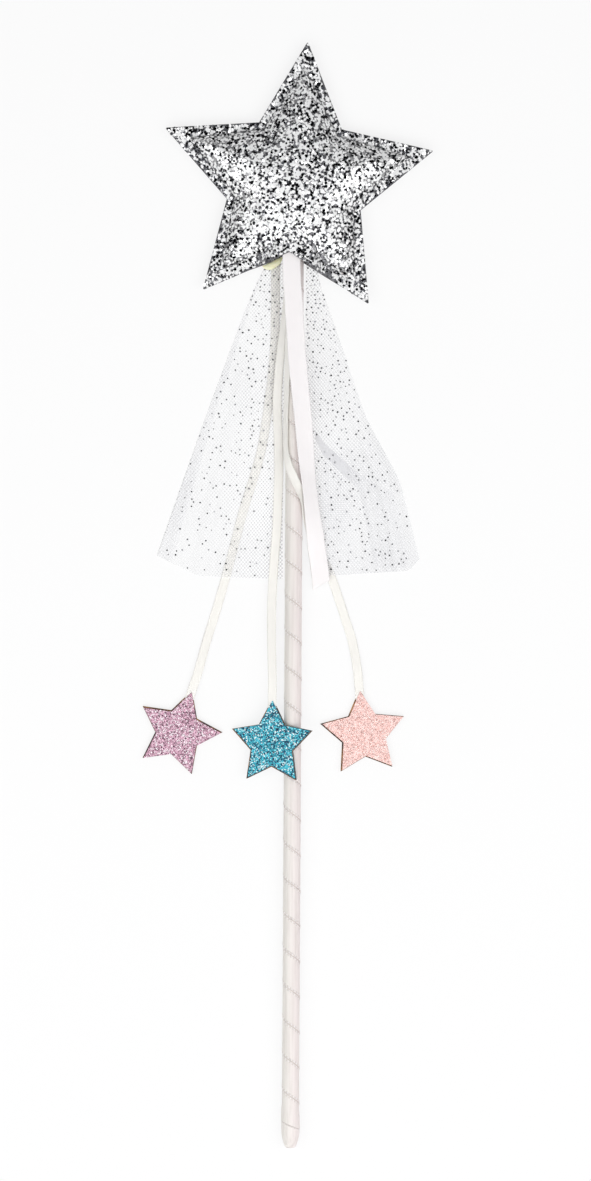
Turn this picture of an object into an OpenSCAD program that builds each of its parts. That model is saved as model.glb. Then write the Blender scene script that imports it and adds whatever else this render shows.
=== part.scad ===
// Toy magic wand: a padded glitter star on a ribbon-wound stick, with a tulle veil,
// a label ribbon and three small glitter stars on narrow ribbons.
// The wand lies face up on a table. +Y runs along the stick to the star and +Z is up.
// The origin is on the stick's axis, at the butt end.

/* [Stick] */
// Diameter of the wooden dowel
dowel_d = 6; // [5:0.5:7]
// Distance from the butt end to the dowel's hidden end inside the star
dowel_top = 412; // [400:1:420]
// Thickness of the satin ribbon wound on the dowel
wrap_t = 0.4; // [0.3:0.05:0.6]
// Room between the dowel and the wound ribbon
wrap_seat = 0.1; // [0.08:0.02:0.2]
// Turns of the wound ribbon
wrap_turns = 24; // [16:1:24]
// Gap between two turns, along the stick
wrap_gap = 0.7; // [0.6:0.05:1.2]
// Length of the ribbon that is folded over the butt end
fold_len = 11; // [8:0.5:16]
// Thickness of the folded layers
fold_t = 0.75; // [0.5:0.05:1]
// Rounding of the folded end
fold_round = 1.6; // [0.8:0.1:2.4]

/* [Padded star] */
// Distance from the star's centre to a tip
star_r = 57.4; // [52:0.2:62]
// Distance from the star's centre to a notch
notch_r = 28.6; // [26:0.2:32]
// Distance from the butt end to the star's centre
star_y = 392.8; // [385:0.2:400]
// Clockwise turn of the star on the stick
star_turn = 4.6; // [0:0.2:10]
// Height of the front crown over the flat margin
crown_h = 8.5; // [7:0.25:12]
// Radius that the crown's middle is rounded to
crown_r = 36; // [30:1:44]
// Width of the flat margin at a notch
margin_w = 3.8; // [3:0.2:5]
// Thickness of a cover
cover_t = 0.5; // [0.3:0.05:0.8]
// Room between the padding and its covers
foam_gap = 0.3; // [0.2:0.05:0.6]
// Room over the wound stick at the star's mouth, for the ribbons
mouth_room = 2.1; // [1.8:0.1:3]
// Room under the wound stick at the star's mouth
lip_room = 0.2; // [0.1:0.05:0.5]
// Depth of the mouth, from the notch to the padding
mouth_depth = 10; // [9:0.5:14]
// Thickness of the hot glue ring on the dowel
glue_t = 0.5; // [0.3:0.05:0.6]
// Length of the hot glue ring
glue_len = 5; // [3:0.5:5]

/* [Small stars] */
// Distance from a small star's centre to a tip
pendant_r = 18; // [15:0.5:21]
// Distance from a small star's centre to a notch
pendant_notch_r = 9.4; // [8:0.2:11]
// Thickness of a glitter sheet
sheet_t = 0.3; // [0.2:0.05:0.5]
// Thickness of the brown core board
core_t = 1.2; // [0.8:0.1:2]
// Length of ribbon that is glued into a small star
tail_len = 10; // [6:0.5:12]
// Lean of the middle star, which lies on the stick
lean = 18.5; // [14:0.5:22]

/* [Ribbons and veil] */
// Width of the three narrow ribbons
ribbon_w = 3.5; // [2.5:0.1:4]
// Width of the label ribbon
label_w = 7.2; // [5:0.1:8]
// Thickness of the ribbons
ribbon_t = 0.3; // [0.2:0.05:0.35]
// Room round a ribbon in its slot
slot_room = 0.1; // [0.05:0.05:0.2]
// Free ribbon between a small star's tip and the line where it bends
bend_free = 2; // [1:0.25:4]
// Gap where a hanging ribbon meets the piece that it bends from
bend_gap = 0.1; // [0.05:0.05:0.2]
// Thickness of the veil's gathered net
veil_t = 0.4; // [0.3:0.05:0.6]
// Height of the veil over the table, where ribbons pass under it
veil_lift = 0.6; // [0.5:0.05:0.8]
// Height of the veil's main folds at the hem
veil_fold_h = 2.4; // [1:0.2:4]
// Main folds of one panel
veil_folds = 5; // [3:1:6]
// Gap between the veil and the wound stick
veil_gap = 0.9; // [0.5:0.1:1.2]
// Gap between the stick and the middle star that lies on it
lie_gap = 0.3; // [0.2:0.05:0.5]

/* [Hidden] */
$fn = 64;

// Heights and places that follow from the driving sizes
dowel_r = dowel_d / 2;
wrap_in = dowel_r + wrap_seat;
wrap_r = wrap_in + wrap_t;
fold_seat = 0.05;
fold_in = dowel_r + fold_seat;
fold_r = fold_in + fold_t;
table_z = -(wrap_r + lip_room + cover_t);
tray_h = -table_z - cover_t;
mouth_y = star_y - notch_r;
mouth_h = wrap_r + mouth_room;
wrap_in_mouth = 4;
wrap_end = mouth_y + wrap_in_mouth;
glue_gap = 0.4;
glue_y = wrap_end + glue_gap;

// Star mouth: flat and sloping half widths of the front arch and of the back lip
arch_flat = 7;
arch_foot = 14;
lip_flat = 13;
lip_foot = 17;

// Rings of the covers, as shares of the way from the centre to the outline
pad_end = 1 - margin_w / notch_r;
pad_rings = [0.25, 0.48, 0.66, 0.79];
cover_rings = concat(pad_rings, [pad_end, 1]);
tray_slope = 0.2;
crown_power = 0.6;
edge_steps = 5;
edge_crowding = 1.4;

// Small stars: x, y, height of the back, clockwise turn, lean
centre_x = -8.1;
centre_z = (wrap_r + lie_gap + centre_x * sin(lean)) / cos(lean);
left_at = [-46.6, 168.9, table_z, 17.9, 0];
centre_at = [centre_x, 164.7, centre_z, 0.5, lean];
right_at = [28.8, 168.7, table_z, -5.5, 0];
slot_z = sheet_t + core_t - ribbon_t - slot_room;
pendant_ribbon_z = slot_z + slot_room / 2 + ribbon_t / 2;
ribbon_lead = 6;

// Ribbon routes from the star's mouth: x, y, z and roll of the flat side about the stick
left_bend = 3;
left_route = [
    [-7.5, 368, -3.4, 0], [-7.8, 362, -3.4, 0], [-8, 357, -3.7, 0], [-8, 352, -4, 0],
    [-8, 340, -4, 0], [-8.2, 326, -4, 0], [-9.5, 312, -4, 0], [-11.2, 298, -4, 0],
    [-13.4, 284, -4, 0], [-17, 271, -4, 0], [-20.7, 259, -4, 0], [-24, 246, -4, 0],
    [-27.4, 233, -4, 0], [-31, 220, -4, 0], [-35, 207, -3.9, 0]
];
centre_bend = 8;
centre_route = [
    [-3.6, 368, 1.3, -70], [-3.65, 360, 1.2, -72], [-3.8, 350, 0.9, -74], [-4.4, 340, 0.2, -62],
    [-5.2, 330, -0.9, -40], [-6.2, 318, -1.8, -12], [-7, 304, -2.1, 0], [-6.5, 290, -2.1, 0],
    [-6.2, 276, -2.1, 0], [-6.5, 264, -2.1, 0], [-6.9, 252, -2.1, 0], [-7.8, 240, -2.1, 0],
    [-8.4, 230, -1.8, -2], [-8.8, 220, -0.9, -6], [-8.8, 210, 0.4, -11], [-8.6, 200, 1.7, -16]
];
right_bend = 14;
right_route = [
    [-1.3, 368, 3.6, -20], [-1.3, 359, 3.6, -20], [-1.6, 350, 3.5, -25], [-2.4, 330, 3.1, -38],
    [-3.2, 310, 2.4, -54], [-3.5, 296, 2, -60], [-3.4, 284, 2.4, -55], [-2.3, 278, 3.5, -33],
    [-0.5, 273.5, 4.25, -7], [1.7, 269, 4, 23], [3.7, 263.5, 2.4, 57], [4.8, 257.5, 0.2, 48],
    [6.2, 252.5, -1.8, 34], [8.2, 246.5, -3.7, 8], [10.2, 242, -4, 0], [13.2, 237.5, -4, 0],
    [16, 231, -4, 0], [18.4, 224, -4, 0], [21.4, 215, -4, 0], [24.2, 206, -3.9, 0]
];
label_bend = 3;
label_route = [
    [-1.5, 368, 4.6, 0], [-1.5, 360, 4.6, 0], [-1.2, 352, 4.6, 0], [-0.6, 345, 4.6, 0],
    [0.2, 333, 4.6, 0], [1.2, 320, 4.5, 2], [2.4, 308, 4.4, 6], [3.6, 297, 4.3, 12],
    [4.4, 288, 4.2, 18], [5.2, 279, 3.8, 28], [6.2, 270, 2.6, 38], [7.4, 260, 0.8, 33],
    [8.6, 251, -0.8, 19], [9.6, 243, -1.6, 7], [10.6, 236, -1.9, 0], [11.4, 229, -2, 0]
];

// Veil panels: edges as share of the way down, x and drop below the mouth,
// and hems as share of the way out, x and drop
stick_side = wrap_r + veil_gap;
veil_rows = 8;
veil_columns = 24;
veil_mouth_rise = 0.6;
veil_flat_share = 0.3;
left_inner = [[0, -stick_side, -1.8], [1, -stick_side, 132.6]];
left_outer = [[0, -9, -1.8], [0.09, -10, 9.2], [0.18, -20, 22.2], [0.55, -37.5, 70.2], [1, -55.8, 123.2]];
left_hem = [[0, -stick_side, 132.6], [0.5, -28.7, 132], [0.72, -39.2, 131.4], [0.88, -48.6, 126.9],
    [1, -55.8, 123.2]];
right_inner = [[0, stick_side, -1.8], [0.5, stick_side, 64.2], [0.75, 8.2, 98.2], [0.87, 11.8, 114.2],
    [1, 11.8, 131.2]];
right_outer = [[0, 8.5, -1.8], [0.1, 10, 12.2], [0.2, 14.7, 24.6], [0.52, 29, 66.2], [0.74, 43.4, 92.7],
    [1, 51.3, 124.2]];
right_hem = [[0, 11.8, 131.2], [0.25, 21.5, 130.7], [0.62, 36, 129.8], [0.9, 47.1, 129], [1, 51.3, 124.2]];

// Small helpers
function lerp(a, b, t) = a + (b - a) * t;
function share(x) = max(0, min(1, x));
function unit(v) = v / norm(v);
function polar(r, a) = [r * cos(a), r * sin(a)];
function xyz(p) = [p.x, p.y, p.z];

// Outline of the padded star about its centre, with points crowded towards the notches
function star_tip(i) = polar(star_r, 90 - star_turn + 72 * i);
function star_notch(i) = polar(notch_r, 54 - star_turn + 72 * i);
function arm_side(notch, i, steps) = [for (t = steps) lerp(notch, star_tip(i), pow(t, edge_crowding))];
side_up = [for (j = [0 : edge_steps - 1]) j / edge_steps];
side_down = [for (j = [0 : edge_steps - 1]) 1 - j / edge_steps];
star_outline = [
    for (i = [0 : 4])
        each concat(arm_side(star_notch(i), i, side_up), arm_side(star_notch(i + 1), i, side_down))
];

// Crown and tray heights of the padded star, with the mouth where the stick goes in
function ring_point(p, s) = s * lerp(crown_r * unit(p), p, s);
function dome(s) = s < pad_end ? pow(1 - pow(s / pad_end, 2), crown_power) : 0;
function tray(s) = share((pad_end - s) / tray_slope);
function mouth(q, flat, foot) = q.y < 0 ? share((foot - abs(q.x)) / (foot - flat)) : 0;
function front_z(s, q) = max(crown_h * dome(s), mouth_h * mouth(q, arch_flat, arch_foot));
function back_z(s, q) = -tray_h * max(tray(s), mouth(q, lip_flat, lip_foot));

// Closed solid between two heights over the star's rings
module star_layer(rings, top, base) {
    n = len(star_outline);
    m = len(rings);
    plan = [for (s = rings) [for (p = star_outline) ring_point(p, s)]];
    uppers = [for (k = [0 : m - 1]) for (q = plan[k]) [q.x, q.y, top(rings[k], q)]];
    lowers = [for (k = [0 : m - 1]) for (q = plan[k]) [q.x, q.y, base(rings[k], q)]];
    hubs = [[0, 0, top(0, [0, 0])], [0, 0, base(0, [0, 0])]];
    under = m * n;
    hub = 2 * m * n;
    rim = (m - 1) * n;
    faces = [
        for (j = [0 : n - 1])
            let (i = (j + 1) % n)
                each concat(
                    [[hub, i, j], [hub + 1, under + j, under + i]],
                    [for (k = [0 : m - 2]) [k * n + j, k * n + i, k * n + n + i]],
                    [for (k = [0 : m - 2]) [k * n + j, k * n + n + i, k * n + n + j]],
                    [for (k = [0 : m - 2]) [under + k * n + j, under + k * n + n + i, under + k * n + i]],
                    [for (k = [0 : m - 2]) [under + k * n + j, under + k * n + n + j, under + k * n + n + i]],
                    [[rim + j, rim + i, under + rim + i], [rim + j, under + rim + i, under + rim + j]]
                )
    ];
    translate([0, star_y, 0])
        polyhedron(concat(uppers, lowers, hubs), faces);
}

// Cylinder along the stick
module along(y, length, r) {
    translate([0, y, 0])
        rotate([-90, 0, 0])
            cylinder(h = length, r = r);
}

// Tube of rings, each a list of as many points, that runs along the rings
// A ring's two halves split along opposite diagonals, so that a twisted flat tube's skins run side by side
module ring_tube(rings) {
    n = len(rings[0]);
    last = len(rings) - 1;
    sides = [
        for (k = [0 : last - 1], j = [0 : n - 1])
            let (a = k * n + j, b = k * n + (j + 1) % n)
                each j < n / 2
                    ? [[a, a + n, b + n], [a, b + n, b]]
                    : [[a, a + n, b], [a + n, b + n, b]]
    ];
    caps = [[for (j = [0 : n - 1]) j], [for (j = [n - 1 : -1 : 0]) last * n + j]];
    polyhedron([for (ring = rings) each ring], concat(sides, caps));
}

// Flat ribbon along a route, from one of its points to another
function route_dir(route, i) =
    unit(xyz(route[min(i + 1, len(route) - 1)]) - xyz(route[max(i - 1, 0)]));
function route_across(route, i) =
    unit(cross([sin(route[i][3]), 0, cos(route[i][3])], route_dir(route, i)));
function flat_ring(route, i, shift, hw, ht, ease) =
    let (
        t = route_dir(route, i),
        w = route_across(route, i),
        up = cross(t, w),
        at = xyz(route[i]) + shift * t
    )
    [
        for (c = [[hw, -ease], [hw, ease], [hw - ease, ht], [ease - hw, ht],
                  [-hw, ease], [-hw, -ease], [ease - hw, -ht], [hw - ease, -ht]])
            at + c.x * w + c.y * up
    ];
module ribbon(route, first, last, width) {
    ease = ribbon_t / 4;
    ring_tube([
        for (i = [first : last])
            flat_ring(route, i, i == first && first > 0 ? bend_gap : 0, width / 2, ribbon_t / 2, ease)
    ]);
}

// Route continued into a small star: a lead, the bend line's near side and a point inside the star
function pendant_point(p, q) =
    let (x = q.x * cos(p[3]) + q.y * sin(p[3]), y = q.y * cos(p[3]) - q.x * sin(p[3]))
    [p.x + x * cos(p[4]) - q.z * sin(p[4]), p.y + y, p.z + x * sin(p[4]) + q.z * cos(p[4])];
function pendant_lead(p) = [
    for (y = [bend_free + ribbon_lead, bend_free + bend_gap, -tail_len])
        concat(pendant_point(p, [0, pendant_r + y, pendant_ribbon_z]), [-p[4]])
];
module pendant_ribbon(route, bend, p) {
    full = concat(route, pendant_lead(p));
    ribbon(full, bend, len(full) - 2, ribbon_w);
}

// Small star's own layers, in its own frame: tip along +Y, back at z = 0
module pendant_place(p) {
    translate([p.x, p.y, p.z])
        rotate([0, -p[4], 0])
            rotate([0, 0, -p[3]])
                children();
}
module pendant_shape() {
    polygon([for (i = [0 : 9]) polar(i % 2 == 0 ? pendant_r : pendant_notch_r, 90 + 36 * i)]);
}
module pendant_sheet(z) {
    translate([0, 0, z])
        linear_extrude(sheet_t)
            pendant_shape();
}
module pendant_core() {
    slot_w = ribbon_w + 2 * slot_room;
    slot_end = pendant_r - tail_len - slot_room;
    difference() {
        translate([0, 0, sheet_t])
            linear_extrude(core_t)
                pendant_shape();
        translate([-slot_w / 2, slot_end, slot_z])
            cube([slot_w, pendant_r, core_t]);
    }
}
module pendant_tail() {
    translate([-ribbon_w / 2, pendant_r - tail_len, slot_z + slot_room / 2])
        cube([ribbon_w, tail_len + bend_free, ribbon_t]);
}

// Veil panel between its edges, with folds that grow towards the hem
function along_edge(edge, t) =
    [lookup(t, [for (e = edge) [e[0], e[1]]]), mouth_y - lookup(t, [for (e = edge) [e[0], e[2]]])];
function veil_plan(inner, outer, hem, u, v) =
    lerp(along_edge(inner, v), along_edge(outer, v), u)
    + v * v * (along_edge(hem, u) - lerp(along_edge(inner, 1), along_edge(outer, 1), u));
function veil_z(u, v) =
    table_z + veil_lift + veil_mouth_rise * pow(1 - v, 2)
    + veil_fold_h * v * share(u / veil_flat_share - 1) * (1 - cos(360 * veil_folds * u)) / 2;
// Closed sheet between an upper and a lower grid of points, all in triangles
module grid_sheet(upper, lower) {
    m = len(upper);
    n = len(upper[0]);
    under = m * n;
    last = under - n;
    skins = [
        for (r = [0 : m - 2], c = [0 : n - 2])
            let (a = r * n + c, b = under + r * n + c)
                each [[a, a + n, a + n + 1], [a, a + n + 1, a + 1],
                      [b, b + n + 1, b + n], [b, b + 1, b + n + 1]]
    ];
    sides = [
        for (r = [0 : m - 2])
            let (a = r * n, b = r * n + n - 1)
                each [[a + n, a, under + a], [a + n, under + a, under + a + n],
                      [b, b + n, under + b + n], [b, under + b + n, under + b]]
    ];
    ends = [
        for (c = [0 : n - 2])
            let (b = last + c)
                each [[c, c + 1, under + c + 1], [c, under + c + 1, under + c],
                      [b + 1, b, under + b], [b + 1, under + b, under + b + 1]]
    ];
    polyhedron([for (row = concat(upper, lower)) each row], concat(skins, sides, ends));
}
module veil_panel(inner, outer, hem) {
    // Columns run towards -X on both panels, so that both have their upper side up
    columns = outer[0][1] < 0 ? [0 : veil_columns] : [veil_columns : -1 : 0];
    shares = [for (c = columns) c / veil_columns];
    lower = [
        for (r = [0 : veil_rows])
            let (v = r / veil_rows)
                [for (u = shares) concat(veil_plan(inner, outer, hem, u, v), [veil_z(u, v)])]
    ];
    upper = [for (row = lower) [for (p = row) p + [0, 0, veil_t]]];
    grid_sheet(upper, lower);
}

// Wound ribbon: one flat strip in a helix, cut square to the stick at both ends
fold_gap = 0.2;
wrap_start = fold_len + fold_gap;
wrap_tip = 1;
wrap_steps = 24;
wrap_pitch = (wrap_end - wrap_start - wrap_gap - 2 * wrap_tip) / (wrap_turns - 1);
wrap_w = wrap_pitch - wrap_gap;
function wrap_y(k) = wrap_end + wrap_w / 2 - wrap_tip - wrap_pitch * k / wrap_steps;
function wrap_low(k) = max(wrap_start, wrap_y(k) - wrap_w / 2);
function wrap_high(k) = min(wrap_end, wrap_y(k) + wrap_w / 2);
function wrap_point(k, r, y) = let (a = 360 * k / wrap_steps) [r * sin(a), y, r * cos(a)];
wrap_rings = [
    for (k = [0 : wrap_turns * wrap_steps])
        [
            wrap_point(k, wrap_in, wrap_low(k)), wrap_point(k, wrap_in, wrap_high(k)),
            wrap_point(k, wrap_r, wrap_high(k)), wrap_point(k, wrap_r, wrap_low(k))
        ]
];

// Least gap between one turn's lower edge and the next turn's upper edge, measured on points
gap_shares = [0, 0.25, 0.5, 0.75];
function upper_edge(j, t) = lerp(wrap_rings[j][1], wrap_rings[j + 1][1], t);
function edge_gap(k) = min([
    for (j = [k + wrap_steps - 4 : k + wrap_steps + 3], t = gap_shares)
        norm(wrap_rings[k][0] - upper_edge(j, t))
]);
echo(wrap_least_gap = min([for (k = [wrap_steps : (wrap_turns - 2) * wrap_steps]) edge_gap(k)]));

// Stick
module dowel() {
    color("burlywood")
        along(fold_t, dowel_top - fold_t, dowel_r);
}
module wrap_ribbon() {
    color("white")
        ring_tube(wrap_rings);
}
module butt_fold() {
    color("whitesmoke")
        rotate([-90, 0, 0])
            difference() {
                rotate_extrude()
                    union() {
                        square([fold_r - fold_round, fold_len]);
                        translate([0, fold_round])
                            square([fold_r, fold_len - fold_round]);
                        translate([fold_r - fold_round, fold_round])
                            circle(r = fold_round);
                    }
                translate([0, 0, fold_t])
                    cylinder(h = fold_len, r = fold_in);
            }
}

// Padded star
module star_front_cover() {
    color("silver")
        star_layer(cover_rings, function (s, q) front_z(s, q) + cover_t, function (s, q) front_z(s, q));
}
module star_back_cover() {
    color("silver")
        star_layer(cover_rings, function (s, q) back_z(s, q), function (s, q) back_z(s, q) - cover_t);
}
module foam_room() {
    along(mouth_y, dowel_top + foam_gap - mouth_y, dowel_r + foam_gap);
    translate([-lip_foot, mouth_y - notch_r, -notch_r])
        cube([2 * lip_foot, notch_r + mouth_depth, 2 * notch_r]);
}
module star_front_foam() {
    color("ivory")
        difference() {
            star_layer(pad_rings, function (s, q) crown_h * dome(s) - foam_gap, function (s, q) foam_gap / 2);
            foam_room();
        }
}
module star_back_foam() {
    color("ivory")
        difference() {
            star_layer(pad_rings, function (s, q) -foam_gap / 2, function (s, q) foam_gap - tray_h * tray(s));
            foam_room();
        }
}
module neck_glue() {
    color("goldenrod")
        difference() {
            along(glue_y, glue_len, dowel_r + glue_t);
            along(glue_y - 1, glue_len + 2, dowel_r);
        }
}

// Ribbons
module left_ribbon_top() {
    color("ivory")
        ribbon(left_route, 0, left_bend, ribbon_w);
}
module left_ribbon() {
    color("ivory")
        pendant_ribbon(left_route, left_bend, left_at);
}
module centre_ribbon_top() {
    color("ivory")
        ribbon(centre_route, 0, centre_bend, ribbon_w);
}
module centre_ribbon() {
    color("ivory")
        pendant_ribbon(centre_route, centre_bend, centre_at);
}
module right_ribbon_top() {
    color("ivory")
        ribbon(right_route, 0, right_bend, ribbon_w);
}
module right_ribbon() {
    color("ivory")
        pendant_ribbon(right_route, right_bend, right_at);
}
module label_ribbon_top() {
    color("white")
        ribbon(label_route, 0, label_bend, label_w);
}
module label_ribbon_tail() {
    color("white")
        ribbon(label_route, label_bend, len(label_route) - 1, label_w);
}

// Veil
module veil_left() {
    color("white", 0.5)
        veil_panel(left_inner, left_outer, left_hem);
}
module veil_right() {
    color("white", 0.5)
        veil_panel(right_inner, right_outer, right_hem);
}

// Small stars
module star_front(p) {
    pendant_place(p)
        pendant_sheet(sheet_t + core_t);
}
module star_core(p) {
    pendant_place(p)
        pendant_core();
}
module star_back(p) {
    pendant_place(p)
        pendant_sheet(0);
}
module star_tail(p) {
    pendant_place(p)
        pendant_tail();
}
module left_star_front() { color("thistle") star_front(left_at); }
module left_star_core() { color("saddlebrown") star_core(left_at); }
module left_star_back() { color("thistle") star_back(left_at); }
module left_star_tail() { color("ivory") star_tail(left_at); }
module centre_star_front() { color("turquoise") star_front(centre_at); }
module centre_star_core() { color("saddlebrown") star_core(centre_at); }
module centre_star_back() { color("turquoise") star_back(centre_at); }
module centre_star_tail() { color("ivory") star_tail(centre_at); }
module right_star_front() { color("mistyrose") star_front(right_at); }
module right_star_core() { color("saddlebrown") star_core(right_at); }
module right_star_back() { color("mistyrose") star_back(right_at); }
module right_star_tail() { color("ivory") star_tail(right_at); }

dowel();
wrap_ribbon();
butt_fold();
star_front_cover();
star_back_cover();
star_front_foam();
star_back_foam();
neck_glue();
left_ribbon_top();
left_ribbon();
centre_ribbon_top();
centre_ribbon();
right_ribbon_top();
right_ribbon();
label_ribbon_top();
label_ribbon_tail();
veil_left();
veil_right();
left_star_front();
left_star_core();
left_star_back();
left_star_tail();
centre_star_front();
centre_star_core();
centre_star_back();
centre_star_tail();
right_star_front();
right_star_core();
right_star_back();
right_star_tail();
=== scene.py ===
import math

import bmesh
import bpy
import numpy as np
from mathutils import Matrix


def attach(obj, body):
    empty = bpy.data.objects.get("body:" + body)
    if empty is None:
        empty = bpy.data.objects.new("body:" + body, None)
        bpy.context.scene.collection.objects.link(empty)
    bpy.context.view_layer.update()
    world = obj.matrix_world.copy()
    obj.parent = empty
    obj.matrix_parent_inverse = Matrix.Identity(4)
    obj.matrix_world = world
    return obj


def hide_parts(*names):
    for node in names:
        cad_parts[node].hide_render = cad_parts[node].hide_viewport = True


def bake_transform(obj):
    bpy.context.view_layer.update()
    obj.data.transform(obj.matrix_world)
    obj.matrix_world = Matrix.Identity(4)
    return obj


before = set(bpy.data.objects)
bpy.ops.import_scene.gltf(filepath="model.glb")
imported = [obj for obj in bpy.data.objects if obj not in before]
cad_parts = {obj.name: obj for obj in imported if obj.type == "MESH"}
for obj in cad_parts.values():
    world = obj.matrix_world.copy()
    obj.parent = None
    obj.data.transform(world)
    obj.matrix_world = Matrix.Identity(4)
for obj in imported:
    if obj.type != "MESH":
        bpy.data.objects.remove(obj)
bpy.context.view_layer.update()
scene = bpy.context.scene
scene.view_settings.view_transform = "Standard"
mm = 0.001  # all sizes below are in millimetres
print("frame loaded:", len(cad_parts), "nodes")


class Wire:  # a node's socket that can stand in a sum
    def __init__(self, bench, socket):
        self.bench, self.socket = bench, socket

    def maths(self, operation, *values):
        return self.bench.node("Math", {"operation": operation}, values)

    def __add__(self, other):
        return self.maths("ADD", self, other)

    def __radd__(self, other):
        return self.maths("ADD", other, self)

    def __sub__(self, other):
        return self.maths("SUBTRACT", self, other)

    def __rsub__(self, other):
        return self.maths("SUBTRACT", other, self)

    def __mul__(self, other):
        return self.maths("MULTIPLY", self, other)

    def __rmul__(self, other):
        return self.maths("MULTIPLY", other, self)

    def __pow__(self, other):
        return self.maths("POWER", self, other)

    def __gt__(self, other):
        return self.maths("GREATER_THAN", self, other)

    def most(self, other):
        return self.maths("MAXIMUM", self, other)

    def least(self, other):
        return self.maths("MINIMUM", self, other)

    def sine(self):
        return self.maths("SINE", self)


class Bench:  # the nodes of one material or world
    def __init__(self, tree):
        self.tree = tree
        tree.nodes.clear()

    def node(self, kind, settings=None, values=(), out=0):
        made = self.tree.nodes.new("ShaderNode" + kind)
        for key, value in (settings or {}).items():
            if key == "stops":
                ramp = made.color_ramp.elements
                while len(ramp) < len(value):
                    ramp.new(1.0)
                for stop, (place, colour) in zip(ramp, value):
                    stop.position, stop.color = place, (*colour, 1)
            else:
                setattr(made, key, value)
        pairs = values.items() if isinstance(values, dict) else enumerate(values)
        for key, value in pairs:
            if isinstance(value, Wire):
                self.tree.links.new(value.socket, made.inputs[key])
            else:
                made.inputs[key].default_value = value
        return Wire(self, made.outputs[out]) if made.outputs else None

    def mix(self, factor, first, second):
        colours = [c if isinstance(c, Wire) else (*c, 1) for c in (first, second)]
        return self.node("Mix", {"data_type": "RGBA"}, {0: factor, 6: colours[0], 7: colours[1]}, 2)

    def vector(self, operation, *values):
        return self.node("VectorMath", {"operation": operation}, values)

    def part(self, vector, axis):
        return self.node("SeparateXYZ", None, [vector], axis)

    def place(self):
        return self.node("TexCoord", None, (), "Object")

    def weave(self):
        return self.node("UVMap", {"uv_map": "weave"})

    def bump(self, height, strength, depth):
        return self.node("Bump", None, {"Height": height, "Strength": strength, "Distance": depth * mm})

    def noise(self, place, perMm, detail=3.0):
        return self.node("TexNoise", None, {"Vector": place, "Scale": perMm / mm, "Detail": detail})

    def attribute(self, name):
        return self.node("Attribute", {"attribute_name": name}, (), "Fac")

    def shader(self, values):
        self.node("OutputMaterial", None, [self.node("BsdfPrincipled", None, values)])


def finish(name):
    material = bpy.data.materials.new(name)
    material.use_nodes = True
    return material, Bench(material.node_tree)


def makePiece(name, points, faces, material, smooth=True, weave=None, tone=None, closed=True, caps=()):
    mesh = bpy.data.meshes.new(name)
    mesh.from_pydata([tuple(p) for p in np.asarray(points, float) * mm], [], [list(f) for f in faces])
    if closed:
        work = bmesh.new()
        work.from_mesh(mesh)
        bmesh.ops.recalc_face_normals(work, faces=work.faces)
        work.to_mesh(mesh)
        work.free()
    mesh.polygons.foreach_set("use_smooth", [smooth and k not in caps for k in range(len(mesh.polygons))])
    if weave is not None:  # lengths along and across the cloth, in millimetres
        corners = np.zeros(len(mesh.loops), int)
        mesh.loops.foreach_get("vertex_index", corners)
        mesh.uv_layers.new(name="weave").data.foreach_set("uv", np.asarray(weave, np.float32)[corners].ravel())
    if tone is not None:  # one number for each point
        mesh.attributes.new("tone", "FLOAT", "POINT").data.foreach_set("value", np.asarray(tone, np.float32))
    mesh.materials.append(material)
    mesh.update()
    piece = bpy.data.objects.new(name, mesh)
    scene.collection.objects.link(piece)
    return piece


def setFinish(node, material):
    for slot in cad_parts[node].material_slots:
        slot.material = material


def unit(v):
    v = np.asarray(v, float)
    return v / np.maximum(np.linalg.norm(v, axis=-1, keepdims=True), 1e-9)


def ease(t):
    t = np.clip(t, 0, 1)
    return t * t * (3 - 2 * t)


def circle(count):
    return np.arange(count) * 2 * math.pi / count


def bandFaces(rows, n, joined=False):  # quads between rows of n points, where each row closes on itself
    return [(k * n + j, k * n + (j + 1) % n, (k + 1) % rows * n + (j + 1) % n, (k + 1) % rows * n + j)
            for k in range(rows if joined else rows - 1) for j in range(n)]


def endFaces(rows, n):
    return [tuple(range(n - 1, -1, -1)), tuple(range((rows - 1) * n, rows * n))]


def tubeFaces(rows, n):
    return bandFaces(rows, n) + endFaces(rows, n)


# Camera: straight down on the wand, which leans a little to the right in the frame
shot = {"pixel": 0.407, "pixelRows": 1181, "centre": (0.87, 226.9), "lean": 0.315, "distance": 1600, "sensor": 36}
eye = bpy.data.cameras.new("photoCamera")
eye.sensor_fit, eye.sensor_height, eye.sensor_width = "VERTICAL", shot["sensor"], shot["sensor"]
eye.lens = shot["sensor"] * shot["distance"] / (shot["pixel"] * shot["pixelRows"])
camera = bpy.data.objects.new("photoCamera", eye)
camera.location = [v * mm for v in (*shot["centre"], shot["distance"])]
camera.rotation_euler = (0, 0, math.radians(shot["lean"]))
scene.collection.objects.link(camera)
scene.camera = camera
print("camera set: lens", round(eye.lens, 1))

# Satin finishes of the ribbons
satinWeave = {"threadGap": 0.22, "pickGap": 0.30, "grain": 0.9, "depth": 0.05, "rowHalf": 0.55}
satins = {
    "ivorySatin": {"colour": (0.932, 0.914, 0.866), "shade": (0.848, 0.830, 0.778), "rough": 0.42, "sheen": 0.25,
                   "relief": 0.22},
    "labelSatin": {"colour": (0.950, 0.918, 0.920), "shade": (0.905, 0.870, 0.872), "rough": 0.45, "sheen": 0.25,
                   "relief": 0.22},
    # wrapSatin's lap, rows and rowGap place painted shade: a shadow line under each lap and dark spots between the
    # loops; sheenPink is a painted sheen
    "wrapSatin": {"colour": (0.820, 0.790, 0.745), "sheenPink": (0.885, 0.805, 0.790), "shade": (0.560, 0.495, 0.465),
                  "rough": 0.42, "sheen": 0.0, "relief": 0.10, "lap": 13.95, "rows": (0.62, 13.45), "rowGap": 1.217},
}


def threadWave(length, gap):  # from 0 to 1 and back over each gap
    return (length * (2 * math.pi / gap)).sine() * 0.5 + 0.5


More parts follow.
